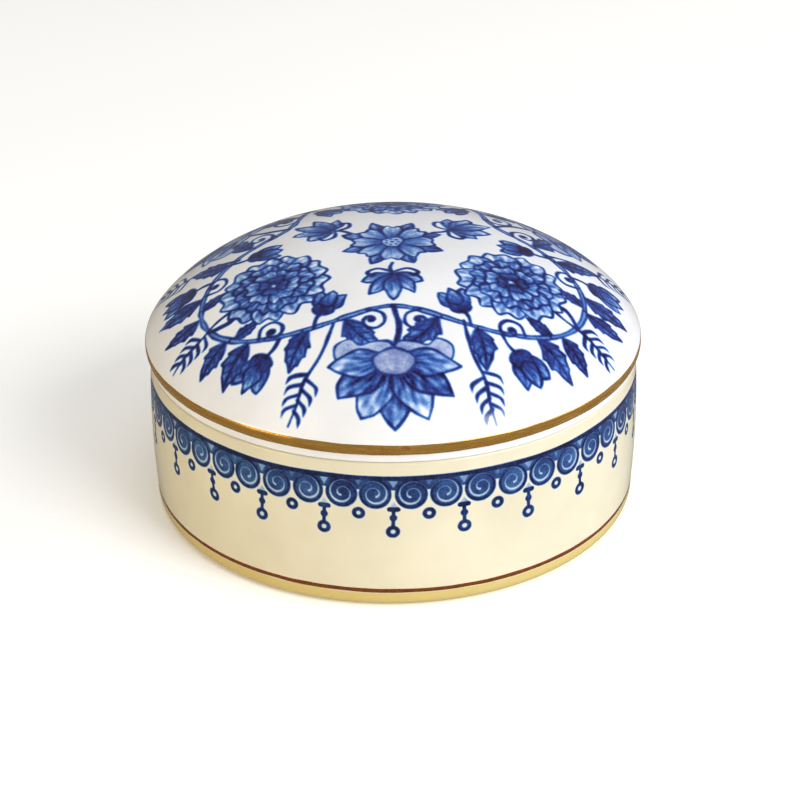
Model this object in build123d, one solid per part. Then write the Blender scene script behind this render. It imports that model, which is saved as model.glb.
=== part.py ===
from build123d import *

import os
from math import cos, pi

# Round porcelain trinket box with a lift-off domed lid. Millimetres, +Z up.
# Origin: centre of the foot's resting plane. Every piece is a section turned about Z,
# and a point of a section is (radius, height).

# Base
foot_radius = 47.9
foot_ring_width = 4.0
foot_recess = 1.6
foot_shoulder_height = 2.9
floor_thickness = 3.0
wall_thickness = 2.6
wall_radius_low = 49.3
wall_radius_middle = 49.75
wall_radius_rim = 49.2
seam_height = 31.6
inner_corner_radius = 5.0

# Lid
lid_radius = 50.0
overall_height = 54.0
lip_radius = 49.35
band_bottom = 33.4
band_top = 35.7
band_radius_bottom = 49.75
band_radius_top = 49.9
dome_exponent = 2.54
dome_power = 0.80
crown_thickness = 2.8
inner_spring_height = 36.0
collar_depth = 4.2
collar_thickness = 2.0
collar_clearance = 0.4
seat_gap = 0.05

# Gilding: a fired layer, flush in a rebate of its own depth
gilt_thickness = 0.12
gilt_line_height = 3.85
gilt_line_width = 1.0

# Roundings of the glazed edges
edge_rounding = 0.55
collar_rounding = 0.8

mouth_radius = wall_radius_rim - wall_thickness
floor_height = foot_recess + floor_thickness
wall_middle_height = (foot_shoulder_height + seam_height) / 2
collar_radius = mouth_radius - collar_clearance
collar_inner_radius = collar_radius - collar_thickness
seat_height = seam_height + seat_gap
collar_bottom = seat_height - collar_depth
band_middle_height = (band_bottom + band_top) / 2


def dome_points(base_radius, spring_height, top_height, count=12):
    """Points of a dome's section from its springing to the axis, closer together near the edge."""
    points = []
    for step in range(count):
        radius = base_radius * cos(step * pi / 2 / count)
        rise = (1 - (radius / base_radius) ** dome_exponent) ** dome_power
        points.append((radius, spring_height + (top_height - spring_height) * rise))
    points.append((0, top_height))
    return points


def band_arc(inset):
    """Bead of the lid's edge, from its bottom to its top, set in by a distance."""
    return ThreePointArc(
        (band_radius_bottom - inset, band_bottom),
        (lid_radius - inset, band_middle_height),
        (band_radius_top - inset, band_top),
    )


def round_corners(section, corners, radius):
    """Rounds the corners of a section that lie at the given points."""
    vertices = [section.vertices().sort_by_distance((r, z, 0))[0] for r, z in corners]
    fillet(vertices, radius)


def base_solid():
    """Bowl with a foot ring, a slightly barrelled wall and a rounded rim."""
    foot_inner_radius = foot_radius - foot_ring_width
    with BuildPart() as bowl:
        with BuildSketch(Plane.XZ) as section:
            with BuildLine():
                Polyline((0, foot_recess), (foot_inner_radius, foot_recess), (foot_inner_radius, 0))
                Line((foot_inner_radius, 0), (foot_radius, 0))
                RadiusArc((foot_radius, 0), (wall_radius_low, foot_shoulder_height), -4)
                ThreePointArc(
                    (wall_radius_low, foot_shoulder_height),
                    (wall_radius_middle, wall_middle_height),
                    (wall_radius_rim, seam_height),
                )
                Polyline((wall_radius_rim, seam_height), (mouth_radius, seam_height))
                Polyline((mouth_radius, seam_height), (mouth_radius, floor_height), (0, floor_height))
                Line((0, floor_height), (0, foot_recess))
            make_face()
            round_corners(section, [(wall_radius_rim, seam_height), (mouth_radius, seam_height)], edge_rounding)
            round_corners(section, [(foot_radius, 0), (foot_inner_radius, 0)], edge_rounding)
            round_corners(section, [(mouth_radius, floor_height)], inner_corner_radius)
        revolve(axis=Axis.Z)
    return bowl.part


def gilt_line_tool():
    """Ring that cuts the gilt line off the outside of the wall."""
    inner_radius = wall_radius_low + 0.03 - gilt_thickness
    with BuildPart() as tool:
        with Locations((0, 0, gilt_line_height - gilt_line_width / 2)):
            Cylinder(lid_radius, gilt_line_width, align=(Align.CENTER, Align.CENTER, Align.MIN))
            Cylinder(
                inner_radius,
                gilt_line_width,
                align=(Align.CENTER, Align.CENTER, Align.MIN),
                mode=Mode.SUBTRACT,
            )
    return tool.part


def lid_solid():
    """Domed shell with a rebate for the gilt band, a lip that sits on the rim, and a collar."""
    outer = dome_points(band_radius_top, band_top, overall_height)
    inner = dome_points(collar_inner_radius, inner_spring_height, overall_height - crown_thickness)
    with BuildPart() as shell:
        with BuildSketch(Plane.XZ) as section:
            with BuildLine():
                Spline(*outer, tangents=[(0, 1), (-1, 0)])
                Line(outer[-1], inner[-1])
                Spline(*inner, tangents=[(0, 1), (-1, 0)])
                Polyline(
                    inner[0],
                    (collar_inner_radius, collar_bottom),
                    (collar_radius, collar_bottom),
                    (collar_radius, seat_height),
                    (lip_radius, seat_height),
                    (lip_radius, band_bottom),
                    (band_radius_bottom - gilt_thickness, band_bottom),
                )
                band_arc(gilt_thickness)
                Line((band_radius_top - gilt_thickness, band_top), outer[0])
            make_face()
            round_corners(section, [(lip_radius, seat_height)], edge_rounding)
            round_corners(
                section,
                [(collar_radius, collar_bottom), (collar_inner_radius, collar_bottom)],
                collar_rounding,
            )
        revolve(axis=Axis.Z)
    return shell.part


def lid_band():
    """Gilt band that fills the rebate of the lid's edge."""
    with BuildPart() as band:
        with BuildSketch(Plane.XZ):
            with BuildLine():
                band_arc(0)
                Line((band_radius_top, band_top), (band_radius_top - gilt_thickness, band_top))
                band_arc(gilt_thickness)
                Line((band_radius_bottom - gilt_thickness, band_bottom), (band_radius_bottom, band_bottom))
            make_face()
        revolve(axis=Axis.Z)
    return band.part


bowl = base_solid()
line_tool = gilt_line_tool()
pieces = {
    "base": bowl - line_tool,
    "base_gilt_line": bowl & line_tool,
    "lid": lid_solid(),
    "lid_gilt_band": lid_band(),
}

os.makedirs("parts", exist_ok=True)
for name, piece in pieces.items():
    export_step(piece, f"parts/{name}.step")
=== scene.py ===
"""Porcelain trinket box: glazed base and domed lid, painted in cobalt blue under the glaze and gilded.

Lengths in this script are millimetres until a mesh is made. A point of a section is (radius, height),
and an angle is counted from the front of the box (-Y) towards its right (+X).
"""

import bpy
import numpy as np
from mathutils import Matrix, Vector


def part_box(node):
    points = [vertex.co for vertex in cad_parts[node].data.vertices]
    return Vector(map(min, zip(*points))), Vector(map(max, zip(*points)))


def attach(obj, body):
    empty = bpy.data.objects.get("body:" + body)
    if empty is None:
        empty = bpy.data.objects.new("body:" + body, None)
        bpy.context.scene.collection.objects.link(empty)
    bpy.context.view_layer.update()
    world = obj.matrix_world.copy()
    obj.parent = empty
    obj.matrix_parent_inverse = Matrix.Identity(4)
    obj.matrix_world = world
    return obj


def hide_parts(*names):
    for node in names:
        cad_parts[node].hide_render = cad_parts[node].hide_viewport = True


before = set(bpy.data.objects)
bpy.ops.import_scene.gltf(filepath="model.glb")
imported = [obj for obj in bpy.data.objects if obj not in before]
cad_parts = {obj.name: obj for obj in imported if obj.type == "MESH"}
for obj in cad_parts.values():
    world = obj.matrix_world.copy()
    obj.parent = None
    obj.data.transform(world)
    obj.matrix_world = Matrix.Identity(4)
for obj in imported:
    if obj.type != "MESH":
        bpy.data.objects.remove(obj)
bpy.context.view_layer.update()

MM = 0.001


def node_box(node):
    """Lowest and highest corner of a CAD node, in mm."""
    return [np.array(corner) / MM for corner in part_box(node)]


# Driving sizes, read from the frame
base_high = node_box("base")[1]
lid_low, lid_high = node_box("lid")
band_low, band_high = node_box("lid_gilt_band")
line_low, line_high = node_box("base_gilt_line")
LAYER = 0.04  # the glaze lies this far inside the boxes, which leaves room for the gilding
BAND_RADIUS = band_high[0] - LAYER
BAND_BOTTOM, BAND_TOP = band_low[2], band_high[2]
LID_TOP = lid_high[2] - LAYER
COLLAR_BOTTOM = lid_low[2]
SEAM = base_high[2]
WALL_RADIUS = base_high[0] - LAYER

# Sizes of the sections that the boxes do not give
DOME_RADIUS = BAND_RADIUS - 0.1
DOME_EXPONENT, DOME_POWER = 2.54, 0.80
BEAD_BOTTOM_RADIUS = BAND_RADIUS - 0.25
LIP_RADIUS = BAND_RADIUS - 0.65
SEAT = SEAM + 0.05
COLLAR_RADIUS, COLLAR_INNER_RADIUS = 46.2, 44.2
INNER_SPRING, CROWN_THICKNESS = 36.0, 2.8
RIM_RADIUS, MOUTH_RADIUS = WALL_RADIUS - 0.55, 46.6
LOW_RADIUS, LOW_HEIGHT = WALL_RADIUS - 0.45, 2.9
FOOT_RADIUS, FOOT_INNER_RADIUS, FOOT_RECESS = 47.9 - LAYER, 43.9, 1.6
FLOOR_TOP = 4.6
FOOT_SWELL, FOOT_TURN = (48.95, 1.15), (FOOT_RADIUS + 0.2, 0.25)

# Mesh: rings of a disc, vertices round a painted ring in sixths, and spacing of painted rings
COARSE = 92
FINE = COARSE * 4
FINE_STEP = 0.15
RING_SLACK = 0.05  # a ring this close to an edge counts as on it

# Grid that the lid is painted on, which is the dome laid out flat: spacing and half width
GRAIN = 0.1
HALF = 58.0

# Painting
PAINTER_SEED, BORDER_SEED = 7, 11
CURVE_STEPS = 7
BRUSH_EDGE, SHAPE_EDGE = 0.3, 0.25  # width over which a stroke or a fill fades out
EDGE_REACH = 1.2  # how far in the tone of a shape's edge goes
SHADING_POWER = 0.8
BLEED_PASSES = 3


def smooth(points, closed):
    """Curve through points; a third value marks a point as a sharp corner."""
    xy = np.array([p[:2] for p in points], float)
    corner = [len(p) > 2 for p in points]
    n = len(points)
    spans = n if closed else n - 1
    out = []
    for i in range(spans):
        a, b = i, (i + 1) % n
        before = a if corner[a] else (i - 1) % n if closed else max(i - 1, 0)
        after = b if corner[b] else (i + 2) % n if closed else min(i + 2, n - 1)
        t = np.linspace(0, 1, CURVE_STEPS, endpoint=False)[:, None]
        m0 = (xy[b] - xy[before]) * 0.5
        m1 = (xy[after] - xy[a]) * 0.5
        chord = np.hypot(*(xy[b] - xy[a]))
        for m in (m0, m1):
            size = np.hypot(*m)
            if size > chord:
                m *= chord / size
        h00 = 2 * t**3 - 3 * t**2 + 1
        h10 = t**3 - 2 * t**2 + t
        h01 = -2 * t**3 + 3 * t**2
        h11 = t**3 - t**2
        out.append(h00 * xy[a] + h10 * m0 + h01 * xy[b] + h11 * m1)
    curve = np.concatenate(out)
    return curve if closed else np.vstack([curve, xy[-1]])


class Canvas:
    """Cobalt density painted with brush lines and filled shapes."""

    def __init__(self):
        n = int(2 * HALF / GRAIN)
        self.n = n
        self.tone = np.zeros((n, n), np.float32)
        self.grey = np.zeros((n, n), np.float32)
        self.move = (0.0, 0.0, 0.0, 1.0, 1.0)  # turn in degrees, offset x, y, scale, mirror
        rng = np.random.default_rng(PAINTER_SEED)
        self.hand = np.random.default_rng(PAINTER_SEED + 1)
        self.cloud = (
            self.noise(rng, 4.0) * 0.5 + self.noise(rng, 1.3) * 0.5 + self.noise(rng, 0.55) * 0.4
        )
        self.pressure = self.noise(rng, 2.2)

    def noise(self, rng, size):
        """Smooth value noise, -1 to 1, with blobs of a size in mm."""
        cells = int(2 * HALF / size) + 3
        grid = rng.uniform(-1, 1, (cells, cells))
        at = np.arange(self.n) * GRAIN / size
        i = at.astype(int)
        f = at - i
        f = f * f * (3 - 2 * f)
        rows = grid[i] * (1 - f)[:, None] + grid[i + 1] * f[:, None]
        return (rows[:, i] * (1 - f) + rows[:, i + 1] * f).astype(np.float32)

    def place(self, turn=0.0, x=0.0, y=0.0, scale=1.0, mirror=False):
        """Sets where the next strokes go."""
        self.move = (np.radians(turn), x, y, scale, -1.0 if mirror else 1.0)

    def placed(self, curve):
        turn, x, y, scale, flip = self.move
        px, py = curve[:, 0] * flip * scale, curve[:, 1] * scale
        c, s = np.cos(turn), np.sin(turn)
        return np.stack([c * px - s * py + x, s * px + c * py + y], 1)

    def window(self, curve, margin):
        """Part of the grid round a curve, with the x and y of its cells."""
        low = np.clip(((curve.min(0) - margin + HALF) / GRAIN).astype(int), 0, self.n)
        high = np.clip(((curve.max(0) + margin + HALF) / GRAIN).astype(int) + 1, 0, self.n)
        cut = (slice(low[1], high[1]), slice(low[0], high[0]))
        x = (np.arange(low[0], high[0]) + 0.5) * GRAIN - HALF
        y = (np.arange(low[1], high[1]) + 0.5) * GRAIN - HALF
        return cut, x[None, :], y[:, None]

    @staticmethod
    def nearest(curve, x, y, closed):
        """Distance to a polyline, place along it from 0 to 1, and whether a point is inside."""
        ends = np.roll(curve, -1, 0) if closed else curve[1:]
        starts = curve if closed else curve[:-1]
        lengths = np.hypot(*(ends - starts).T)
        total = lengths.sum()
        before = np.concatenate([[0], np.cumsum(lengths)[:-1]])
        shape = np.broadcast(x, y).shape
        best = np.full(shape, 1e9, np.float32)
        along = np.zeros(shape, np.float32)
        inside = np.zeros(shape, bool)
        for (ax, ay), (bx, by), length, start in zip(starts, ends, lengths, before):
            dx, dy = bx - ax, by - ay
            t = np.clip(((x - ax) * dx + (y - ay) * dy) / max(length * length, 1e-9), 0, 1)
            d = (x - ax - t * dx) ** 2 + (y - ay - t * dy) ** 2
            closer = d < best
            best = np.where(closer, d, best)
            along = np.where(closer, (start + t * length) / total, along)
            if closed and ay != by:
                crosses = ((ay > y) != (by > y)) & (x < dx * (y - ay) / dy + ax)
                inside ^= crosses
        return np.sqrt(best), along, inside

    def cover(self, cut, amount, tone, grey=0.0):
        self.tone[cut] += (tone - self.tone[cut]) * amount
        self.grey[cut] += (grey - self.grey[cut]) * amount

    def line(self, points, width=0.7, tone=0.93, ends=(0.5, 0.5)):
        """Brush line; ends gives the share of the full width left at the start and the end."""
        curve = self.placed(smooth(points, False))
        cut, x, y = self.window(curve, width + 0.5)
        distance, along, _ = self.nearest(curve, x, y, False)
        swell = np.minimum(ends[0] + along * 3, 1) * np.minimum(ends[1] + (1 - along) * 3, 1)
        half = 0.5 * width * swell * (1 + 0.35 * self.pressure[cut])
        amount = np.clip((half - distance) / BRUSH_EDGE + 0.5, 0, 1)
        self.cover(cut, amount, tone + 0.04 * self.cloud[cut])

    def shape(self, points, tone, edge=None, outline=0.55, line_tone=0.93,
              root=None, core=0.85, streak=0.1, grey=0.0, rough=0.1, gap=0.0):
        """Filled shape with an outline. edge is the tone near the outline, and gap leaves the
        glaze bare inside it. With a root, the fill runs from the core tone there to tone at the
        far end in brush streaks, and the outline fades near it."""
        curve = self.placed(smooth(points, True))
        cut, x, y = self.window(curve, 1.0)
        distance, _, inside = self.nearest(curve, x, y, True)
        deep = np.where(inside, distance, -distance)
        strength = 1.0
        fill = np.full(deep.shape, tone, np.float32)
        if edge is not None:
            fill += (edge - tone) * np.exp(-np.maximum(deep, 0) / EDGE_REACH)
        if root is not None:
            rx, ry = self.placed(np.array([root], float))[0]
            far = np.hypot(curve[:, 0] - rx, curve[:, 1] - ry)
            away = np.hypot(x - rx, y - ry)
            part = np.clip((away - 0.7 * far.min()) / (far.max() - 0.7 * far.min()), 0, 1)
            fill += (core - tone) * (1 - part) ** SHADING_POWER
            angle = np.arctan2(y - ry, x - rx)
            brush = (
                np.sin(17 * angle + 2 * np.sin(0.9 * away))
                + 0.8 * np.sin(39 * angle + np.sin(0.7 * away) + 2)
            )
            fill += streak * brush * np.clip((away - 1.5) / 4, 0, 1) * 0.6
            strength = np.clip(0.25 + 2 * part, 0, 1)
        fill += rough * self.cloud[cut]
        if gap:
            fill *= np.clip((deep - gap) / 0.35 + 0.5, 0, 1)
        self.cover(cut, np.clip(deep / SHAPE_EDGE + 0.5, 0, 1), fill, grey)
        half = 0.5 * outline * (1 + 0.5 * self.pressure[cut])
        amount = np.clip((half - distance) / BRUSH_EDGE + 0.5, 0, 1) * strength
        self.cover(cut, amount, line_tone + 0.05 * self.cloud[cut])

    def read(self, layer, u, v):
        """Bilinear samples of a layer at places on the plane, in mm."""
        x = np.clip((u + HALF) / GRAIN - 0.5, 0, self.n - 1.001)
        y = np.clip((v + HALF) / GRAIN - 0.5, 0, self.n - 1.001)
        i, j = x.astype(int), y.astype(int)
        f, g = x - i, y - j
        low = layer[j, i] * (1 - f) + layer[j, i + 1] * f
        high = layer[j + 1, i] * (1 - f) + layer[j + 1, i + 1] * f
        return low * (1 - g) + high * g

    def petal(self, points, root, tip, core=0.85, streak=0.14):
        """Shape shaded from its root, as a loaded brush leaves it."""
        self.shape(
            points, tip, root=root, core=core, outline=0.5, streak=streak, line_tone=0.92
        )

    def by_hand(self, points, amount=0.16):
        """An outline with its points moved a little, as a brush wanders."""
        return [
            (x + self.hand.normal(0, amount), y + self.hand.normal(0, amount), *corner)
            for x, y, *corner in points
        ]

    def dot(self, x, y, radius, tone=0.95):
        self.line([(x - 0.01, y), (x + 0.01, y)], 2 * radius, tone, (1, 1))

    def bleed(self):
        """Spreads the colour a little, as cobalt runs in a glaze."""
        for _ in range(BLEED_PASSES):
            for axis in (0, 1):
                beside = np.roll(self.tone, 1, axis) + np.roll(self.tone, -1, axis)
                self.tone = 0.5 * self.tone + 0.25 * beside


# The lid's painting: a scrolling vine that swings in and out three times round the dome, with a
# lotus outside each inward swing and a peony inside each outward one. Motifs are drawn about
# their own root, growing along +Y.
REPEATS = 3
VINE_RADIUS = 33.5
VINE_SWING = 9.0
PALMETTE_RADIUS, PEONY_RADIUS, LOTUS_RADIUS = 13.6, 27.0, 38.0
FRONT = -90
STEM = 0.8, 0.9, (1, 1)  # width, tone and ends of a short stem


def spin(points, degrees):
    """An outline turned about its own origin."""
    c, s = np.cos(np.radians(degrees)), np.sin(np.radians(degrees))
    return [(c * x - s * y, s * x + c * y, *corner) for x, y, *corner in points]


def pointed(length, width):
    """Outline of a petal with a sharp tip."""
    half = [(0.8 * width, 0.3 * length), (width, 0.55 * length), (0.5 * width, 0.85 * length)]
    return [(0, 0.05 * length), *[(-x, y) for x, y in half], (0, length, 1), *half[::-1]]


def lobed(length, width):
    """Outline of a petal with a dented round tip."""
    half = [(0.25 * width, 0.2 * length), (width, 0.66 * length), (0.62 * width, 0.96 * length)]
    return [*[(-x, y) for x, y in half], (0, 0.89 * length), *half[::-1]]


def ring_of(c, outline, count, start, tip, core=0.93, streak=0.26):
    for k in range(count):
        turned = spin(outline, start + 360 * k / count)
        c.petal(c.by_hand(turned), (0, 0), tip=tip, core=core, streak=streak)


def rosette(c):
    """Open flower at the crown of the lid."""
    ring_of(c, pointed(10.6, 2.1), 8, 22.5, tip=0.5, core=0.8)
    ring_of(c, lobed(8.4, 2.3), 8, 0, tip=0.08, core=0.75, streak=0.12)
    c.dot(0, 0, 2.5, 0.9)
    c.dot(0, 0, 2.1, 0.22)
    for k in range(7):
        eye = np.radians(360 * k / 7)
        c.dot(1.25 * np.cos(eye), 1.25 * np.sin(eye), 0.3, 0.85)
    c.dot(0, 0, 0.4, 0.85)


def peony(c):
    """Full round flower of four whorls of lobed petals."""
    for count, length, width, start, tip in (
        (9, 9.6, 3.1, 0, 0.10), (8, 7.2, 2.6, 20, 0.36), (6, 4.9, 2.1, 8, 0.14), (4, 2.7, 1.4, 30, 0.5)
    ):
        ring_of(c, lobed(length, width), count, start, tip)


def lotus(c):
    """Lotus seen from the side, on a calyx of two curled lobes."""
    for side in (-1, 1):
        curl = [
            (0, -1.0), (3.0, -1.0), (6.4, 0.2), (9.4, -0.4), (9.6, -3.2),
            (7.2, -4.4), (5.6, -3.0), (3.2, -3.6), (0.6, -3.4),
        ]
        c.shape([(side * x, y) for x, y in curl], 0.36, edge=0.24, line_tone=0.85, grey=0.8, gap=0.3)
    for angle, length, width, tip in (
        (0, 12.4, 3.4, 0.34), (28, 12.0, 3.1, 0.06), (57, 11.6, 2.9, 0.46), (86, 11.0, 2.5, 0.06)
    ):
        for side in (-1, 1) if angle else (1,):
            outline = c.by_hand(spin(pointed(length, width), side * angle))
            c.petal(outline, (0, 0), tip=tip, core=0.93, streak=0.22)
    heart = [(-3.4, -0.4), (-2.8, 2.0), (-1.0, 3.0), (1.0, 3.0), (2.8, 2.0), (3.4, -0.4), (0, -2.2)]
    c.shape(heart, 0.4, edge=0.5, outline=0.5, line_tone=0.8, grey=1.0, rough=0.16)


def bud(c):
    """Closed flower on a short stem."""
    c.line([(0, -5.0), (0.5, -2.4), (0, 0.4)], *STEM)
    for angle in (-24, 24, 0):
        c.petal(c.by_hand(spin(pointed(7.6, 1.9), angle)), (0, 0), tip=0.3, core=0.92, streak=0.2)
    cup = [(-2.4, 0.4), (-1.8, 2.8, 1), (0, 1.8), (1.8, 2.8, 1), (2.4, 0.4), (0, -1.0)]
    c.petal(cup, (0, -1), tip=0.7, core=0.95)


def leaf(c):
    """Bent leaf with a notched edge, a midrib and veins."""
    length, width, bend = 9.5, 2.5, 2.2

    def place(part, side, full=1.0):
        return bend * part**2 + side * full * width * np.sin(np.pi * part**0.85), length * part

    def edge(side):
        low = [place(0.15, side, 0.9)]
        for part in (0.34, 0.56, 0.78):
            low += [(*place(part, side), 1), place(part + 0.04, side, 0.78)]
        return low

    outline = [(0, 0), *edge(-1), (bend, length, 1), *edge(1)[::-1]]
    c.petal(c.by_hand(outline, 0.1), (0, -1), tip=0.38, streak=0.16)
    c.line([place(part, 0) for part in (0, 0.3, 0.6, 0.9)], 0.6, 0.93)
    for part in (0.22, 0.4, 0.58):
        for side in (-1, 1):
            c.line([place(part, 0), place(part + 0.14, side, 0.72)], 0.4, 0.85)


def sprig(c):
    """Thorny twig on a long stem."""
    pairs, gap = 4, 2.3
    stem = [(0, -15.0), (0.9, -7.0), (0, 0), (0.4, 1.2 * pairs), (0, gap * pairs)]
    c.line(stem, 0.7, 0.9, ends=(1, 0.4))
    for k in range(pairs):
        for side in (-1, 1):
            foot = gap * k - 2.0 + 1.1 * (side > 0)
            reach = 3.0 - 0.4 * k
            thorn = [(0.1, foot), (side * reach, foot + 1.3), (side * 1.2 * reach, foot + 3.0)]
            c.line(thorn, 0.8, 0.9, (0.9, 0.15))


def palmette(c):
    """Fan of five petals over two curls."""
    c.line([(0, -3.6), (0.4, -1.8), (0, 0.4)], *STEM)
    for angle, length in ((64, 5.6), (-64, 5.6), (32, 7.0), (-32, 7.0), (0, 8.0)):
        c.petal(c.by_hand(spin(pointed(length, 1.5), angle)), (0, 0), tip=0.1, streak=0.2)
    for side in (-1, 1):
        curl = [(0, -0.4), (2.4, -1.6), (4.2, -0.6), (3.6, 0.7), (2.8, 0.1)]
        c.line([(side * x, y) for x, y in curl], 0.8, 0.92)


def tendril(c):
    """Curl that winds in to a dot."""
    winds, size = 1.35, 3.4
    turn = np.linspace(0, 2 * np.pi * winds, 10)
    reach = size * (1 - turn / turn[-1]) + 0.5
    curl = [(r * np.sin(t) - 0.2, size - r * np.cos(t)) for r, t in zip(reach, turn)]
    c.line(curl, 0.7, 0.9, ends=(1, 0.8))
    c.dot(-0.2, 3.2, 0.65)


def vine_radius(angle):
    """Distance of the vine from the crown at an angle in degrees."""
    return VINE_RADIUS - VINE_SWING * np.cos(np.radians(REPEATS * (angle - FRONT)))


def grow(c, motif, angle, radius, turn=0.0, scale=1.0, mirror=False):
    """Draws a motif at a polar place on the lid, growing outwards when turn is zero."""
    where = np.radians(angle)
    c.place(angle - 90 + turn, radius * np.cos(where), radius * np.sin(where), scale, mirror)
    motif(c)


def vine(c):
    """Stem in short overlapping strokes with a light line along the middle."""
    c.place()
    for start in range(0, 360, 10):
        angle = np.radians(np.linspace(start - 0.4, start + 10.4, 4))
        radius = vine_radius(np.degrees(angle))
        path = list(zip(radius * np.cos(angle), radius * np.sin(angle)))
        c.line(path, 1.25, 0.9, ends=(1, 1))
        c.line(path, 0.5, 0.4, ends=(1, 1))


# What grows on both sides of each lotus: motif, degrees away, distance outside the vine, turn
# and scale
GROWN = (
    (sprig, 24, 14.5, -4, 0.95), (tendril, 11, 0.4, -20, 0.8), (leaf, 18, 0.8, -38, 1.1),
    (bud, 28, -4.6, 176, 0.85), (leaf, 29, 0.6, -2, 1.0), (bud, 36, 5.3, -2, 1.0),
    (tendril, 42, -0.6, -150, 0.8), (leaf, 44, 0.6, 2, 1.1), (leaf, 50, -0.6, -150, 0.6),
    (leaf, 52, 0.6, 4, 0.9),
)


def paint_lid(c):
    inner, outer = VINE_RADIUS - VINE_SWING, VINE_RADIUS + VINE_SWING
    vine(c)
    for k in range(REPEATS):
        front = FRONT + 360 * k / REPEATS
        middle = front + 180 / REPEATS
        for motif, away, outside, turn, scale in GROWN:
            for side in (-1, 1):
                angle = front + side * (away + c.hand.normal(0, 0.5))
                lean = side * turn + c.hand.normal(0, 5)
                grow(c, motif, angle, vine_radius(angle) + outside, lean, scale, side < 0)
        grow(c, palmette, front, PALMETTE_RADIUS, 0, 1.15)
        grow(c, sprig, middle, vine_radius(middle) + 3.0, 0, 0.85)
        # bowed stems from the vine to the lotus and to the peony
        c.place()
        for centre, ends, bow in (
            (front, (inner, 30.0, LOTUS_RADIUS), 2.0), (middle, (outer, 38.5, 34.0), 3.0)
        ):
            way = np.radians([centre, centre + bow, centre])
            c.line([(r * np.cos(t), r * np.sin(t)) for r, t in zip(ends, way)], 1.1, 0.9, (1, 1))
        grow(c, peony, middle, PEONY_RADIUS, 15.0, 1.18)
        grow(c, lotus, front, LOTUS_RADIUS, 0, 1.16)
    c.place()
    rosette(c)
    c.bleed()


# The border under the base's rim: lengths from the centre of its row of spirals
SPIRAL_HEIGHT = BAND_BOTTOM - 8.3
PENDANTS = 24
CELL = 2 * np.pi * WALL_RADIUS / PENDANTS
RAIL_LOW, RAIL_HIGH = 2.85, 3.75
DISC_RADIUS = 2.95
CAP_LEVEL, CAP_REACH = -3.1, 0.75
STEM_TOP, STEM_FOOT, STEM_BEAD = -3.0, -6.8, -4.9
# level, radius and radius of the hole
PENDANT_RING = -7.8, 1.32, 0.48
SMALL_RING = -4.0, 1.25, 0.42


def soften(distance, edge=0.13):
    """1 inside a distance of zero, 0 outside, with a soft edge."""
    return np.clip(0.5 - distance / edge, 0, 1)


def segment(x, z, ax, az, bx, bz, half):
    """Distance to a straight brush stroke."""
    dx, dz = bx - ax, bz - az
    t = np.clip(((x - ax) * dx + (z - az) * dz) / (dx * dx + dz * dz), 0, 1)
    return np.hypot(x - ax - t * dx, z - az - t * dz) - half


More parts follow.
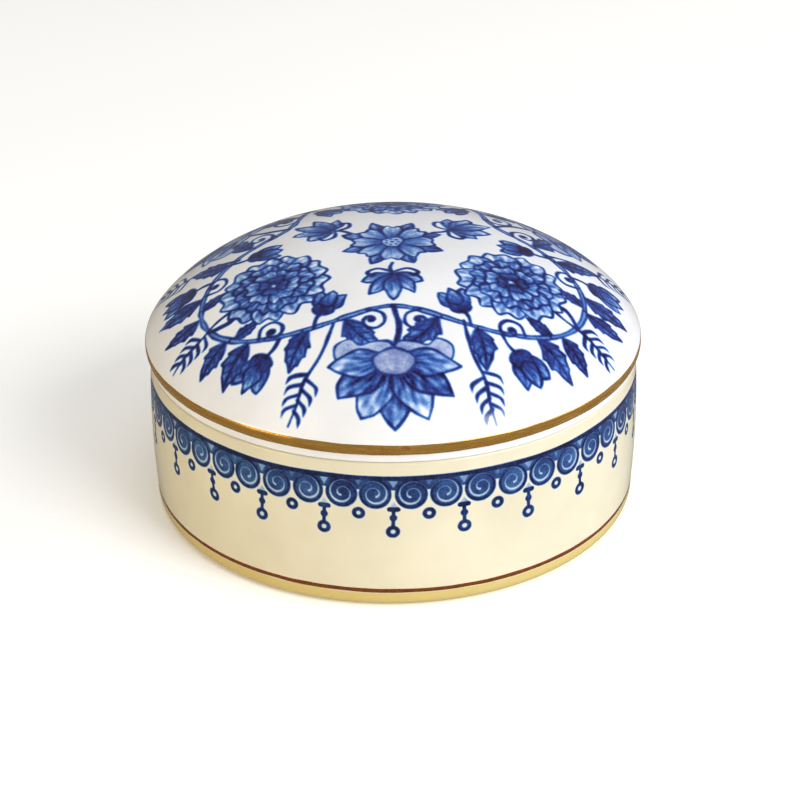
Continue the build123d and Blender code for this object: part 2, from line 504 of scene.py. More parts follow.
def border(angle, height):
    """Cobalt density of the border at angles (radians) and heights (mm) of the wall."""
    # the spacing wanders a little, as in any hand-drawn border
    angle = angle + np.radians(0.5 * np.sin(3 * angle + 2.1))
    along = angle * WALL_RADIUS
    number = np.floor(along / CELL + 0.5)
    x = along - number * CELL
    rng = np.random.default_rng(BORDER_SEED)
    sway = rng.normal(0, 1, (8, PENDANTS))[:, number.astype(int) % PENDANTS]
    z = height - SPIRAL_HEIGHT + 0.06 * np.sin(3 * angle) + 0.05 * np.sin(11 * angle + 1)
    side = np.sign(x) + (x == 0)
    across = np.abs(x)
    dx = across - CELL / 4 + 0.07 * np.where(side > 0, sway[0], sway[1])
    dz = z + 0.07 * np.where(side > 0, sway[2], sway[3])
    radius = np.hypot(dx, dz)

    ground = np.minimum(radius - DISC_RADIUS, np.maximum(z - RAIL_HIGH, 0.9 - z))
    shade = 0.8 + 0.05 * np.sin(5 * angle + 2) + 0.04 * np.sin(23 * angle)
    tone = np.zeros(along.shape)

    def lay(distance, value, edge=0.13):
        nonlocal tone
        tone = tone + (value - tone) * soften(distance, edge)

    lay(ground, shade)
    lay(np.abs(radius - DISC_RADIUS + 0.22) - 0.3, 0.95, 0.3)
    # light triangles between the discs
    under_rail = z - RAIL_LOW - 0.1
    lay(np.maximum(under_rail, across - 0.62 * (z - RAIL_LOW + 1.45)), 0.42, 0.3)
    lay(np.maximum(under_rail, CELL / 2 - across - 0.45 * (z - 1.7)), 0.58, 0.4)
    lay(np.maximum(-2.75 - z, across - 0.7 * (-1.45 - z)), 0.3, 0.25)
    # light spiral: mirrored on the two sides of a pendant, it opens from the foot of its own centre
    turn = np.arctan2(-dx, -dz) % (2 * np.pi)
    for lap in (0, 1):
        wound = turn + 2 * np.pi * lap
        reach = 0.5 + 1.4 * wound / (2 * np.pi) - 0.12 * np.sin(wound)
        brush = 0.13 + 0.1 * np.clip(np.cos(wound - 0.4), -0.7, 1)
        brush = brush * np.clip((10.6 - wound) / 1.5, 0, 1)
        lay(np.abs(radius - reach) - brush, 0.3 - 0.06 * np.cos(wound), 0.2)
    # rail above the spirals
    lay(np.abs(z - (RAIL_LOW + RAIL_HIGH) / 2) - 0.45 - 0.05 * np.sin(17 * angle), 0.97, 0.2)
    # pendant: cap, beaded stem and ring
    tilt = 0.05 * sway[4] * (z + 3)
    lay(segment(x, z, -CAP_REACH, CAP_LEVEL, CAP_REACH, CAP_LEVEL, 0.5), 0.95)
    lay(segment(x + tilt, z, 0, STEM_TOP, 0, STEM_FOOT, 0.36), 0.92)
    lay(np.hypot(x + tilt, z - STEM_BEAD) - 0.72, 0.92, 0.2)
    level, size, hole = PENDANT_RING
    ring = np.hypot(x + tilt, z - level + 0.1 * sway[5])
    lay(ring - size, 0.93, 0.22)
    lay(ring - hole, 0.1, 0.25)
    # small ring between two pendants
    between = np.floor(along / CELL).astype(int) % PENDANTS
    level, size, hole = SMALL_RING
    ring = np.hypot(CELL / 2 - across, z - level + 0.1 * rng.normal(0, 1, PENDANTS)[between])
    lay(ring - size, 0.93, 0.22)
    lay(ring - hole, 0.08, 0.25)
    return tone


def arc_through(start, middle, end, count):
    """Points of the circular arc through three points, without its last one."""
    (ax, ay), (bx, by), (cx, cy) = start, middle, end
    d = 2 * (ax * (by - cy) + bx * (cy - ay) + cx * (ay - by))
    a2, b2, c2 = ax * ax + ay * ay, bx * bx + by * by, cx * cx + cy * cy
    ox = (a2 * (by - cy) + b2 * (cy - ay) + c2 * (ay - by)) / d
    oy = (a2 * (cx - bx) + b2 * (ax - cx) + c2 * (bx - ax)) / d
    first, mid, last = (np.arctan2(y - oy, x - ox) for x, y in (start, middle, end))
    turn = (last - first + np.pi) % (2 * np.pi) - np.pi
    part = (mid - first + np.pi) % (2 * np.pi) - np.pi
    if turn * part < 0:
        turn -= np.sign(turn) * 2 * np.pi
    radius = np.hypot(ax - ox, ay - oy)
    angles = first + turn * np.arange(count) / count
    return [(ox + radius * np.cos(a), oy + radius * np.sin(a)) for a in angles]


def rounded(corners, count=7):
    """Polyline through corners (radius, height, rounding), each rounded by a tangent arc."""
    out = []
    last = len(corners) - 1
    for i, (x, y, *rounding) in enumerate(corners):
        if i in (0, last) or not rounding:
            out.append((x, y))
            continue
        here = np.array((x, y))
        back = np.array(corners[i - 1][:2]) - here
        ahead = np.array(corners[i + 1][:2]) - here
        back, ahead = back / np.hypot(*back), ahead / np.hypot(*ahead)
        half = np.arccos(np.clip(back @ ahead, -1, 1)) / 2
        cut = rounding[0] / np.tan(half)
        start, end = here + back * cut, here + ahead * cut
        toward = (back + ahead) / np.hypot(*(back + ahead))
        middle = here + toward * (rounding[0] / np.sin(half) - rounding[0])
        out += arc_through(start, middle, end, count) + [tuple(end)]
    return out


def dome(base_radius, spring, top, count):
    """Points of a dome's section from its springing up to the axis."""
    radius = base_radius * np.cos(np.linspace(0, np.pi / 2, count))
    rise = (1 - (radius / base_radius) ** DOME_EXPONENT) ** DOME_POWER
    return list(zip(radius, spring + (top - spring) * rise))


class Section:
    """Section line of a turned piece, read by the length along it."""

    def __init__(self, points):
        self.points = np.array(points, float)
        steps = np.hypot(*np.diff(self.points, axis=0).T)
        keep = np.concatenate([[True], steps > 1e-6])
        self.points = self.points[keep]
        self.lengths = np.concatenate([[0], np.cumsum(np.hypot(*np.diff(self.points, axis=0).T))])
        self.total = self.lengths[-1]

    def at(self, length):
        return np.stack([np.interp(length, self.lengths, self.points[:, k]) for k in (0, 1)], -1)

    def length_at(self, radius, height):
        """Length at the point of the line nearest to a place."""
        fine = np.linspace(0, self.total, 40000)
        near = self.at(fine) - (radius, height)
        return fine[np.argmin(np.hypot(*near.T))]

    def corners_between(self, start, end, step):
        """Lengths from start to end, no further apart than step, that keep the line's own points."""
        inside = self.lengths[(self.lengths > start + 1e-6) & (self.lengths < end - 1e-6)]
        stops = np.concatenate([[start], inside, [end]])
        stops = stops[np.concatenate([[True], np.diff(stops) > 0.02])]
        stops[-1] = end
        spans = [
            np.linspace(a, b, max(int(np.ceil((b - a) / step)), 1) + 1)[:-1]
            for a, b in zip(stops, stops[1:])
        ]
        return np.concatenate(spans + [[end]])


def bridge(first, first_count, second, second_count):
    """Faces between two rings of vertices, as quads, or as triangles if the counts differ."""
    if first_count == second_count:
        j = np.arange(first_count)
        k = (j + 1) % first_count
        return np.stack([first + j, second + j, second + k, first + k], 1), np.empty((0, 3), int)
    grows = second_count > first_count
    many, few = max(first_count, second_count), min(first_count, second_count)
    far, near = (second, first) if grows else (first, second)
    j = np.arange(many)
    held = np.floor((j + 0.5) * few / many + 0.5).astype(int)
    wide = np.stack([near + held % few, far + j, far + (j + 1) % many], 1)
    i = np.arange(few)
    place = np.ceil((i + 0.5) * many / few - 0.5).astype(int)
    narrow = np.stack([near + i, far + place % many, near + (i + 1) % few], 1)
    faces = np.concatenate([wide, narrow])
    return np.empty((0, 4), int), faces if grows else faces[:, ::-1]


def build_mesh(name, points, quads, triangles):
    mesh = bpy.data.meshes.new(name)
    mesh.vertices.add(len(points))
    mesh.vertices.foreach_set("co", (points * MM).astype(np.float32).ravel())
    corners = np.concatenate([triangles.ravel(), quads.ravel()]).astype(np.int32)
    starts = np.concatenate([
        np.arange(len(triangles)) * 3, len(triangles) * 3 + np.arange(len(quads)) * 4
    ])
    mesh.loops.add(len(corners))
    mesh.loops.foreach_set("vertex_index", corners)
    mesh.polygons.add(len(starts))
    mesh.polygons.foreach_set("loop_start", starts.astype(np.int32))
    mesh.update(calc_edges=True)
    mesh.shade_smooth()
    piece = bpy.data.objects.new(name, mesh)
    bpy.context.collection.objects.link(piece)
    return piece


class Turned:
    """A turned piece made of rings of vertices; a ring of one vertex closes it on the axis."""

    def __init__(self, section, lengths, counts):
        places = section.at(lengths)
        self.ring = np.repeat(np.arange(len(counts)), counts)
        first = np.concatenate([[0], np.cumsum(counts)[:-1]])
        number = np.arange(len(self.ring)) - first[self.ring]
        self.angle = 2 * np.pi * number / np.array(counts)[self.ring]
        self.length = np.asarray(lengths)[self.ring]
        self.radius, self.height = places[self.ring].T
        quads, triangles, quad_ring, triangle_ring = [], [], [], []
        for i in range(len(counts) - 1):
            four, three = bridge(first[i], counts[i], first[i + 1], counts[i + 1])
            if counts[i] == 1 or counts[i + 1] == 1:
                three = three[[len(set(row)) == 3 for row in three.tolist()]]
            quads.append(four)
            triangles.append(three)
            quad_ring.append(np.full(len(four), i))
            triangle_ring.append(np.full(len(three), i))
        self.quads, self.triangles = np.concatenate(quads), np.concatenate(triangles)
        self.face_ring = np.concatenate(triangle_ring + quad_ring)

    def build(self, name):
        points = np.stack(
            [self.radius * np.sin(self.angle), -self.radius * np.cos(self.angle), self.height], 1
        )
        self.piece = build_mesh(name, points, self.quads, self.triangles)
        return self.piece

    def attribute(self, name, values):
        layer = self.piece.data.attributes.new(name, "FLOAT", "POINT")
        layer.data.foreach_set("value", values.astype(np.float32))

    def corner_data(self):
        """Vertex of each face corner, and face of each face corner."""
        vertex = np.concatenate([self.triangles.ravel(), self.quads.ravel()])
        sizes = np.concatenate([np.full(len(self.triangles), 3), np.full(len(self.quads), 4)])
        return vertex, np.repeat(np.arange(len(sizes)), sizes)

    def unwrap(self, uv):
        layer = self.piece.data.uv_layers.new(name="OFBake")
        layer.data.foreach_set("uv", uv.astype(np.float32).ravel())

    def paint_faces(self, material_of_ring):
        numbers = material_of_ring[self.face_ring].astype(np.int32)
        self.piece.data.polygons.foreach_set("material_index", numbers)


def disc_counts(rings):
    """Vertex counts of a disc's rings: one at the centre, then six more on each ring."""
    return [1] + [6 * k for k in range(1, rings)]


def lid_section():
    crown = dome(DOME_RADIUS, BAND_TOP, LID_TOP, 240)[::-1]
    middle = (BAND_BOTTOM + BAND_TOP) / 2
    bead = arc_through(
        (DOME_RADIUS, BAND_TOP), (BAND_RADIUS, middle), (BEAD_BOTTOM_RADIUS, BAND_BOTTOM), 12
    )
    under = rounded([
        (BEAD_BOTTOM_RADIUS, BAND_BOTTOM + 0.4),
        (BEAD_BOTTOM_RADIUS, BAND_BOTTOM, 0.15),
        (LIP_RADIUS, BAND_BOTTOM, 0.15),
        (LIP_RADIUS, SEAT, 0.55),
        (COLLAR_RADIUS, SEAT, 0.3),
        (COLLAR_RADIUS, COLLAR_BOTTOM, 0.8),
        (COLLAR_INNER_RADIUS, COLLAR_BOTTOM, 0.8),
        (COLLAR_INNER_RADIUS, INNER_SPRING),
    ])
    inside = dome(COLLAR_INNER_RADIUS, INNER_SPRING, LID_TOP - CROWN_THICKNESS, 120)
    return Section(crown + bead[1:-3] + under + inside[1:])


def base_section():
    wall_top = (RIM_RADIUS + 0.02, SEAM - 1.2)
    widest = (WALL_RADIUS, (LOW_HEIGHT + SEAM) / 2)
    wall_foot = (LOW_RADIUS, LOW_HEIGHT)
    rim = rounded([
        (0, FLOOR_TOP),
        (MOUTH_RADIUS, FLOOR_TOP, 5.0),
        (MOUTH_RADIUS, SEAM, 0.55),
        (RIM_RADIUS, SEAM, 0.55),
        wall_top,
    ])
    wall = arc_through(wall_top, widest, wall_foot, 60)
    foot = arc_through(wall_foot, FOOT_SWELL, FOOT_TURN, 10)
    ring = rounded([
        FOOT_TURN,
        (FOOT_RADIUS - 0.3, 0, 0.4),
        (FOOT_INNER_RADIUS, 0, 0.55),
        (FOOT_INNER_RADIUS, FOOT_RECESS, 0.4),
        (0, FOOT_RECESS),
    ])
    return Section(rim[:-1] + wall + foot + ring)


def linear(red, green, blue):
    """Scene-linear colour, with alpha, of a display colour given from 0 to 255."""
    parts = np.array([red, green, blue]) / 255
    parts = np.where(parts <= 0.04045, parts / 12.92, ((parts + 0.055) / 1.055) ** 2.4)
    return (*[float(p) for p in parts], 1.0)


class Nodes:
    """Short calls for building a node tree."""

    def __init__(self, name):
        self.material = bpy.data.materials.new(name)
        self.material.use_nodes = True
        self.tree = self.material.node_tree
        self.shader = self.tree.nodes["Principled BSDF"]

    def add(self, kind, **settings):
        node = self.tree.nodes.new(kind)
        for key, value in settings.items():
            setattr(node, key, value)
        return node

    def link(self, source, target):
        self.tree.links.new(source, target)
        return source

    def feed(self, socket, value):
        if isinstance(value, (int, float, tuple)):
            socket.default_value = value
        else:
            self.link(value, socket)

    def place(self):
        """Object coordinates in millimetres."""
        where = self.add("ShaderNodeTexCoord")
        scaled = self.add("ShaderNodeVectorMath", operation="SCALE")
        self.link(where.outputs["Object"], scaled.inputs[0])
        scaled.inputs["Scale"].default_value = 1 / MM
        return scaled.outputs[0]

    def noise(self, place, size, detail=2.0, roughness=0.5):
        """Noise from 0 to 1 with blobs of a size in mm."""
        node = self.add("ShaderNodeTexNoise")
        self.link(place, node.inputs["Vector"])
        node.inputs["Scale"].default_value = 1 / size
        node.inputs["Detail"].default_value = detail
        node.inputs["Roughness"].default_value = roughness
        return node.outputs["Fac"]

    def math(self, operation, a, b=0.0, c=0.0):
        node = self.add("ShaderNodeMath", operation=operation)
        for socket, value in zip(node.inputs, (a, b, c)):
            self.feed(socket, value)
        return node.outputs[0]

    def span(self, value, low, high, to_low=0.0, to_high=1.0):
        node = self.add("ShaderNodeMapRange")
        self.link(value, node.inputs["Value"])
        ends = {"From Min": low, "From Max": high, "To Min": to_low, "To Max": to_high}
        for key, number in ends.items():
            node.inputs[key].default_value = number
        return node.outputs["Result"]

    def ramp(self, value, stops):
        node = self.add("ShaderNodeValToRGB")
        self.link(value, node.inputs["Fac"])
        points = node.color_ramp.elements
        while len(points) < len(stops):
            points.new(0.5)
        for point, (position, colour) in zip(points, stops):
            point.position = position
            point.color = linear(*colour)
        return node.outputs["Color"]

    def mix(self, amount, first, second):
        node = self.add("ShaderNodeMix", data_type="RGBA", blend_type="MIX")
        self.feed(node.inputs["Factor"], amount)
        self.feed(node.inputs["A"], first)
        self.feed(node.inputs["B"], second)
        return node.outputs["Result"]

    def bump(self, height, distance, strength=1.0, over=None):
        node = self.add("ShaderNodeBump")
        self.link(height, node.inputs["Height"])
        node.inputs["Distance"].default_value = distance * MM
        node.inputs["Strength"].default_value = strength
        if over:
            self.link(over, node.inputs["Normal"])
        return node.outputs["Normal"]

    def attribute(self, name):
        return self.add("ShaderNodeAttribute", attribute_name=name).outputs["Fac"]


COBALT = (
    (0.18, (176, 200, 235)),
    (0.40, (98, 140, 205)),
    (0.58, (52, 92, 170)),
    (0.75, (38, 56, 132)),
    (0.90, (28, 24, 76)),
    (1.00, (12, 6, 34)),
)
FAINT_COBALT = (
    (0.18, (186, 202, 220)),
    (0.40, (120, 152, 190)),
    (0.60, (66, 104, 156)),
    (0.78, (38, 66, 120)),
    (0.92, (24, 36, 84)),
    (1.00, (12, 16, 48)),
)
GREYED = (
    (0.18, (196, 203, 228)),
    (0.40, (128, 146, 196)),
    (0.60, (95, 110, 165)),
    (1.00, (40, 40, 80)),
)
# The first colour is painted warm reflection of the ground, put on the glaze at the foot; the second
# is the colour of iron specks.
STRAW_REFLECTION, IRON = (204, 180, 92), (112, 92, 70)  # tint at the foot, and specks


def glaze(name, body, cobalt, painted_greyed=False, foot=None):
    """Glossy glaze over cobalt painting. foot is the height up to which a straw tint is painted in, as
    painted warm reflection of the ground.
    """
    n = Nodes(name)
    place = n.place()
    granulation = n.noise(place, 0.45, 4, 0.65)
    wash = n.noise(place, 2.6, 3, 0.55)
    tone = n.attribute("tone")
    present = n.span(tone, 0.04, 0.3)
    drift = n.math(
        "ADD", n.span(granulation, 0.25, 0.75, -0.1, 0.1), n.span(wash, 0.3, 0.7, -0.08, 0.06)
    )
    density = n.math("MULTIPLY_ADD", drift, present, tone)
    # the body: faint warm and cool clouds, and a few fine iron specks
    clouds = n.noise(place, 17.0, 3, 0.5)
    paler = tuple(min(255, c + 6) for c in body)
    dimmer = tuple(c - 7 for c in body)
    ground = n.ramp(n.span(clouds, 0.3, 0.7), ((0.0, dimmer), (1.0, paler)))
    speck = n.add("ShaderNodeTexVoronoi")
    n.link(place, speck.inputs["Vector"])
    speck.inputs["Scale"].default_value = 1 / 7.0
    dot = n.span(speck.outputs["Distance"], 0.012, 0.022, 0.45, 0.0)
    ground = n.mix(dot, ground, linear(*IRON))
    # painted warm reflection: the glaze below the foot height is tinted straw, as if lit by light
    # bounced off a warm ground
    if foot:
        level = n.add("ShaderNodeSeparateXYZ")
        n.link(place, level.inputs[0])
        tint = n.span(level.outputs["Z"], foot - 0.3, foot + 0.2, 0.8, 0.0)
        ground = n.mix(tint, ground, linear(*STRAW_REFLECTION))
    blue = n.ramp(density, ((0.0, body), *cobalt))
    colour = n.mix(n.span(density, 0.0, 0.12), ground, blue)
    if painted_greyed:
        soft_blue = n.ramp(density, ((0.0, body), *GREYED))
        colour = n.mix(n.attribute("grey"), colour, soft_blue)
    n.link(colour, n.shader.inputs["Base Color"])
    n.link(n.span(n.noise(place, 5.0, 3, 0.6), 0.3, 0.7, 0.1, 0.17), n.shader.inputs["Roughness"])
    n.shader.inputs["IOR"].default_value = 1.52
    swell = n.bump(n.noise(place, 9.0, 1, 0.4), 0.05, 0.5)
    fine = n.bump(n.noise(place, 0.8, 2, 0.5), 0.004, 0.5, swell)
    n.link(fine, n.shader.inputs["Normal"])
    return n.material


def bisque(name):
    """Bare fired clay of the foot ring and the seat."""
    n = Nodes(name)
    place = n.place()
    grit = n.noise(place, 0.3, 5, 0.7)
    stain = n.noise(place, 6.0, 3, 0.6)
    base = n.ramp(n.span(stain, 0.3, 0.7), ((0.0, (206, 196, 178)), (1.0, (228, 222, 208))))
    colour = n.mix(n.span(grit, 0.62, 0.8, 0.0, 0.35), base, linear(150, 132, 108))
    n.link(colour, n.shader.inputs["Base Color"])
    n.link(n.span(grit, 0.3, 0.7, 0.65, 0.9), n.shader.inputs["Roughness"])
    n.link(n.bump(grit, 0.05, 0.6), n.shader.inputs["Normal"])
    return n.material


def gilding(name, bright, worn_and_shaded, wear):
    """Burnished fired gold: thin and streaked along the rim, and rubbed down to a brown underlayer in
    places. The brown of rubbed places is wear, and also painted shade that darkens the gold overall,
    standing in for the dark surroundings it reflects.
    """
    n = Nodes(name)
    place = n.place()
    stretch = n.add("ShaderNodeVectorMath", operation="MULTIPLY")
    n.link(place, stretch.inputs[0])
    stretch.inputs[1].default_value = (1, 1, 9)
    streak = n.noise(stretch.outputs[0], 5.0, 4, 0.6)
    patch = n.noise(place, 3.2, 4, 0.6)
    grain = n.noise(place, 0.35, 3, 0.6)
    duller = tuple(int(c * 0.86) for c in bright)
    gold = n.ramp(n.span(streak, 0.3, 0.7), ((0.0, duller), (1.0, bright)))
    # brown where rubbed: wear, and painted shade that darkens the gold
    rubbed_and_shaded = n.math(
        "MAXIMUM", n.span(patch, wear, wear + 0.12, 0.0, 0.8), n.span(grain, 0.72, 0.8, 0.0, 0.5)
    )
    n.link(n.mix(rubbed_and_shaded, gold, linear(*worn_and_shaded)), n.shader.inputs["Base Color"])
    n.link(n.span(rubbed_and_shaded, 0.0, 0.8, 0.8, 0.4), n.shader.inputs["Metallic"])
    roughness = n.math("ADD", n.span(streak, 0.3, 0.7, 0.16, 0.30), n.math("MULTIPLY", rubbed_and_shaded, 0.2))
    n.link(roughness, n.shader.inputs["Roughness"])
    n.link(n.bump(streak, 0.03, 0.5, n.bump(grain, 0.006, 0.6)), n.shader.inputs["Normal"])
    return n.material


def studio_floor(name):
    n = Nodes(name)
    place = n.place()
    base = n.ramp(n.noise(place, 300.0, 2, 0.5), ((0.3, (248, 248, 247)), (0.7, (251, 251, 250))))
    n.link(base, n.shader.inputs["Base Color"])
    n.link(base, n.shader.inputs["Emission Color"])
    n.shader.inputs["Emission Strength"].default_value = 0.2
    n.shader.inputs["Roughness"].default_value = 0.85
    n.link(n.bump(n.noise(place, 0.6, 3, 0.6), 0.03, 0.3), n.shader.inputs["Normal"])
    return n.material


def disc_map(length, angle, centre, scale):
    """Bake map of a turned surface as a flat disc: length runs from the middle outwards."""
    u = centre[0] + scale * length * np.sin(angle)
    v = centre[1] - scale * length * np.cos(angle)
    return np.stack([u, v], 1)


def make_lid():
    section = lid_section()
    rim = section.length_at(DOME_RADIUS, BAND_TOP)
    spring = section.length_at(COLLAR_INNER_RADIUS, INNER_SPRING)
    between = section.corners_between(rim, spring, 1.0)[1:]
    lengths = np.concatenate([
        np.linspace(0, rim, FINE + 1), between, np.linspace(spring, section.total, COARSE + 1)[1:]
    ])
    counts = disc_counts(FINE + 1) + [6 * COARSE] * len(between) + disc_counts(COARSE)[::-1]
    lid = Turned(section, lengths, counts)
    piece = lid.build("lid_shell")

    canvas = Canvas()
    paint_lid(canvas)
    outside = lid.length <= rim + 1e-6
    u = lid.length * np.sin(lid.angle)
    v = -lid.length * np.cos(lid.angle)
    lid.attribute("tone", canvas.read(canvas.tone, u, v) * outside)
    lid.attribute("grey", canvas.read(canvas.grey, u, v) * outside)

    # bake map: the painted side is one large disc, and all below the lip a small one in a corner
    lip = section.length_at(LIP_RADIUS, SEAT + 0.7)
    vertex, face = lid.corner_data()
    above = (lengths[lid.face_ring + 1] <= lip)[face]
    top = disc_map(lid.length[vertex], lid.angle[vertex], (0.5, 0.5), 0.49 / lip)
    under = disc_map(
        section.total - lid.length[vertex], lid.angle[vertex], (0.075, 0.075),
        0.068 / (section.total - lip),
    )
    lid.unwrap(np.where(above[:, None], top, under))

    seat_start = section.length_at(LIP_RADIUS - 0.6, SEAT)
    seat_end = section.length_at(COLLAR_RADIUS + 0.4, SEAT)
    piece.data.materials.append(glaze("lid_glaze", (236, 237, 241), COBALT, painted_greyed=True))
    piece.data.materials.append(bisque("lid_seat_bisque"))
    lid.paint_faces((lengths[:-1] >= seat_start - RING_SLACK) & (lengths[:-1] < seat_end))
    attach(piece, "lid")
    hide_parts("lid")
    return section


def make_base():
    section = base_section()
    floor_edge = section.length_at(MOUTH_RADIUS - 5, FLOOR_TOP)
    border_top = section.length_at(WALL_RADIUS - 0.3, SPIRAL_HEIGHT + 4.3)
    border_bottom = section.length_at(WALL_RADIUS, SPIRAL_HEIGHT - 9.3)
    under_edge = section.length_at(FOOT_INNER_RADIUS - 0.4, FOOT_RECESS)
    painted_rings = int((border_bottom - border_top) / (FINE_STEP * 0.9))
    painted = np.linspace(border_top, border_bottom, painted_rings)
    upper = section.corners_between(floor_edge, border_top, 1.0)[1:-1]
    lower = section.corners_between(border_bottom, under_edge, 1.0)[1:]
    lengths = np.concatenate([
        np.linspace(0, floor_edge, COARSE + 1), upper, painted, lower,
        np.linspace(under_edge, section.total, COARSE + 1)[1:],
    ])
    counts = (
        disc_counts(COARSE + 1) + [6 * COARSE] * len(upper) + [6 * FINE] * len(painted)
        + [6 * COARSE] * len(lower) + disc_counts(COARSE)[::-1]
    )
    base = Turned(section, lengths, counts)
    piece = base.build("base_shell")

    on_wall = (base.length >= border_top) & (base.length <= border_bottom)
    tone = np.zeros(len(base.angle))
    turned = (base.angle[on_wall] + np.pi) % (2 * np.pi) - np.pi
    tone[on_wall] = border(turned, base.height[on_wall])
    base.attribute("tone", tone)

    # bake map: the wall as six pieces in two columns, the inside and the underside as small discs
    rim = section.length_at(RIM_RADIUS, SEAM - 0.7)
    foot = section.length_at(FOOT_INNER_RADIUS, 0.6)
    vertex, face = base.corner_data()
    start = lengths[base.face_ring][face]
    inside = disc_map(base.length[vertex], base.angle[vertex], (0.9, 0.9), 0.085 / rim)
    under = disc_map(
        section.total - base.length[vertex], base.angle[vertex], (0.9, 0.7),
        0.085 / (section.total - foot),
    )
    angle = base.angle[vertex]
    corners = np.bincount(face)
    first = np.concatenate([[0], np.cumsum(corners)[:-1]])
    middle = angle[first]
    bend = (angle - middle[face] + np.pi) % (2 * np.pi) - np.pi
    centre_angle = (middle + np.add.reduceat(bend, first) / corners) % (2 * np.pi)
    cell = np.floor(centre_angle / (np.pi / 3)).astype(int)[face]
    local = (angle - (cell + 0.5) * np.pi / 3 + np.pi) % (2 * np.pi) - np.pi
    column, row = cell % 2, cell // 2
    scale = 0.39 / (WALL_RADIUS * np.pi / 3)
    wall = np.stack([
        0.205 + 0.41 * column + local * WALL_RADIUS * scale,
        0.05 + 0.31 * row + (foot - base.length[vertex]) * scale,
    ], 1)
    choice = np.where((start < rim)[:, None], inside, np.where((start >= foot)[:, None], under, wall))
    base.unwrap(choice)

    ring_start = section.length_at(FOOT_RADIUS - 0.35, 0)
    ring_end = section.length_at(FOOT_INNER_RADIUS + 0.5, 0)
    # The base glaze's cream body colour, warmer than the lid's cool white, is painted warm reflected
    # light, and its straw tint at the foot is painted reflection of the ground.
    piece.data.materials.append(glaze("base_glaze", (224, 217, 193), FAINT_COBALT, foot=line_low[2]))
    piece.data.materials.append(bisque("foot_bisque"))
    base.paint_faces((lengths[:-1] >= ring_start - RING_SLACK) & (lengths[:-1] < ring_end))
    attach(piece, "base")
    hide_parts("base")


def make_gilt(name, outline, bottom, top, waver, material, body, node, seed):
    """Layer of gilding over a stretch of a wall's outline, with softly uneven edges."""
    columns, rows = 720, 15
    angle = 2 * np.pi * np.arange(columns) / columns
    rng = np.random.default_rng(seed)
    edges = []
    for _ in range(2):
        wave = sum(
            rng.normal(0, 1 / k**0.6) * np.cos(k * angle + rng.uniform(0, 6.3)) for k in range(3, 60)
        )
        edges.append(wave * waver / np.abs(wave).max())
    part = np.linspace(0, 1, rows)[:, None]
    height = (bottom + edges[0]) * (1 - part) + (top + edges[1]) * part
    outer = np.interp(height, outline[:, 1], outline[:, 0])
    proud = (LAYER - 0.014) * (1 - np.abs(2 * part - 1) ** 6) + 0.002
    sides = [(outer + proud, height), (outer[::-1] - 0.08, height[::-1])]
    radius = np.concatenate([side[0] for side in sides])
    level = np.concatenate([side[1] for side in sides])
    points = np.stack([radius * np.sin(angle), -radius * np.cos(angle), level], 2).reshape(-1, 3)
    i, j = np.meshgrid(np.arange(2 * rows), np.arange(columns), indexing="ij")
    up, over = (i + 1) % (2 * rows), (j + 1) % columns
    quads = np.stack(
        [i * columns + j, i * columns + over, up * columns + over, up * columns + j], 2
    ).reshape(-1, 4)
    piece = build_mesh(name, points, quads, np.empty((0, 3), int))
    piece.data.materials.append(material)
    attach(piece, body)
    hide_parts(node)


lid_line = make_lid()
make_base()


def outline_between(section, low, high):
    """Outer side of a section between two heights, as rows (radius, height) from the bottom up."""
    rows = section.points[(section.points[:, 1] > low) & (section.points[:, 1] < high)]
    rows = rows[rows[:, 0] > 0.97 * rows[:, 0].max()]
    return rows[np.argsort(rows[:, 1])]


make_gilt(
    "lid_gilt_edge", outline_between(lid_line, BAND_BOTTOM, BAND_TOP + 0.8),
    BAND_BOTTOM + 0.12, BAND_TOP, 0.1,
    gilding("band_gold", (232, 176, 86), (112, 66, 30), 0.6), "lid", "lid_gilt_band", 3,
)
# The foot line's gold is a reddish brown and its rubbed places a dark brown: painted shade standing in
# for gold that reflects dark surroundings, as well as wear.
make_gilt(
    "foot_gilt_line", outline_between(base_section(), line_low[2] - 0.6, line_high[2] + 0.6),
    line_low[2] + 0.05, line_high[2] - 0.05, 0.08,
    gilding("foot_line_gold", (190, 112, 52), (112, 46, 24), 0.46), "base", "base_gilt_line", 5,
)

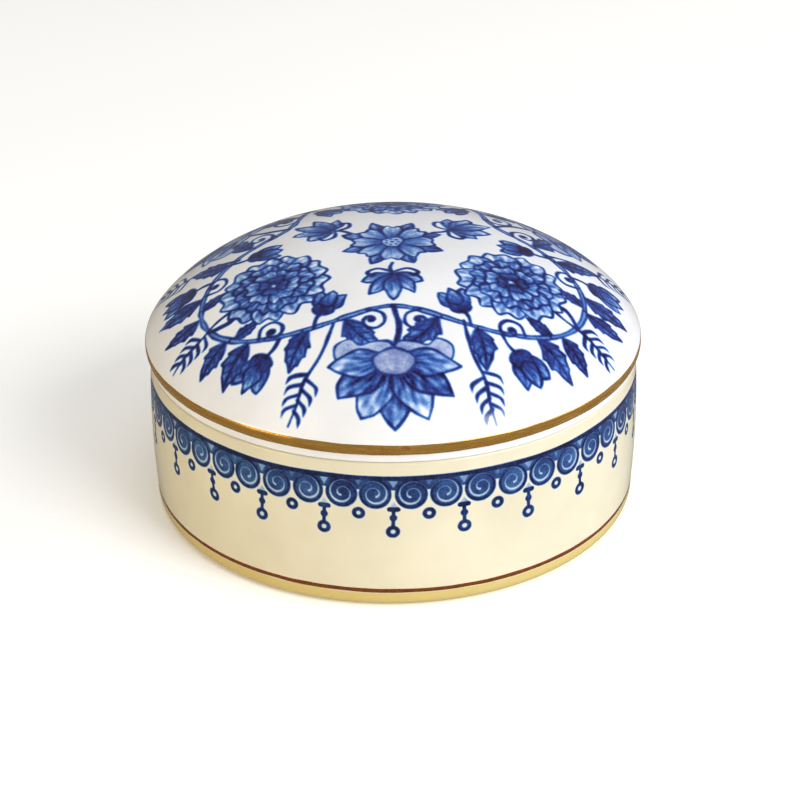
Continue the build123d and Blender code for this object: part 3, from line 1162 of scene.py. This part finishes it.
# Floor, lights and camera
floor = bpy.data.objects.new("floor", bpy.data.meshes.new("floor"))
reach = 3.0
corners = [(-reach, -reach, 0), (reach, -reach, 0), (reach, reach, 0), (-reach, reach, 0)]
floor.data.from_pydata(corners, [], [(0, 1, 2, 3)])
floor.data.materials.append(studio_floor("pale_floor"))
bpy.context.collection.objects.link(floor)
floor.visible_glossy = False


def softbox(name, place, target, width, height, power, colour=(1, 1, 1)):
    """Area light in metres and watts, turned towards a point."""
    lamp = bpy.data.lights.new(name, "AREA")
    lamp.shape = "RECTANGLE"
    lamp.size, lamp.size_y = width, height
    lamp.energy = power
    lamp.color = colour
    holder = bpy.data.objects.new(name, lamp)
    holder.location = place
    holder.rotation_euler = (Vector(target) - Vector(place)).to_track_quat("-Z", "Y").to_euler()
    bpy.context.collection.objects.link(holder)
    return holder


centre = (0, 0, LID_TOP * MM / 2)
softbox("key", (0.95, -0.9, 1.0), centre, 0.8, 0.7, 15.5)
softbox("overhead", (0.1, -0.2, 1.5), centre, 1.2, 1.2, 9).visible_glossy = False
softbox("right_side", (1.2, -0.15, 0.45), centre, 0.7, 0.6, 5)
softbox("left_warm", (-0.95, -0.6, 0.16), centre, 0.5, 0.25, 3.6, (1.0, 0.72, 0.22))

world = bpy.data.worlds.new("studio")
bpy.context.scene.world = world
world.use_nodes = True
world.node_tree.nodes["Background"].inputs["Color"].default_value = (1.0, 0.98, 0.95, 1)
world.node_tree.nodes["Background"].inputs["Strength"].default_value = 0.21

camera = bpy.data.cameras.new("camera")
camera.lens = 95.0
camera.sensor_width = 36.0
holder = bpy.data.objects.new("camera", camera)
bpy.context.collection.objects.link(holder)
elevation, roll, distance = np.radians(26.445), np.radians(-0.558), 428.8
aim = Vector((-0.9, 0, BAND_BOTTOM))
stand = aim + distance * Vector((0, -np.cos(elevation), np.sin(elevation)))
look = (Vector((1.26, 0, 18.3)) - stand).normalized()
right = look.cross(Vector((0, 0, 1))).normalized()
up = right.cross(look)
tilted_right = np.cos(roll) * right + np.sin(roll) * up
tilted_up = -np.sin(roll) * right + np.cos(roll) * up
turn = Matrix((tilted_right, tilted_up, -look)).transposed().to_4x4()
holder.matrix_world = Matrix.Translation(stand * MM) @ turn
bpy.context.scene.camera = holder
bpy.context.scene.view_settings.view_transform = "Standard"

bpy.context.view_layer.update()
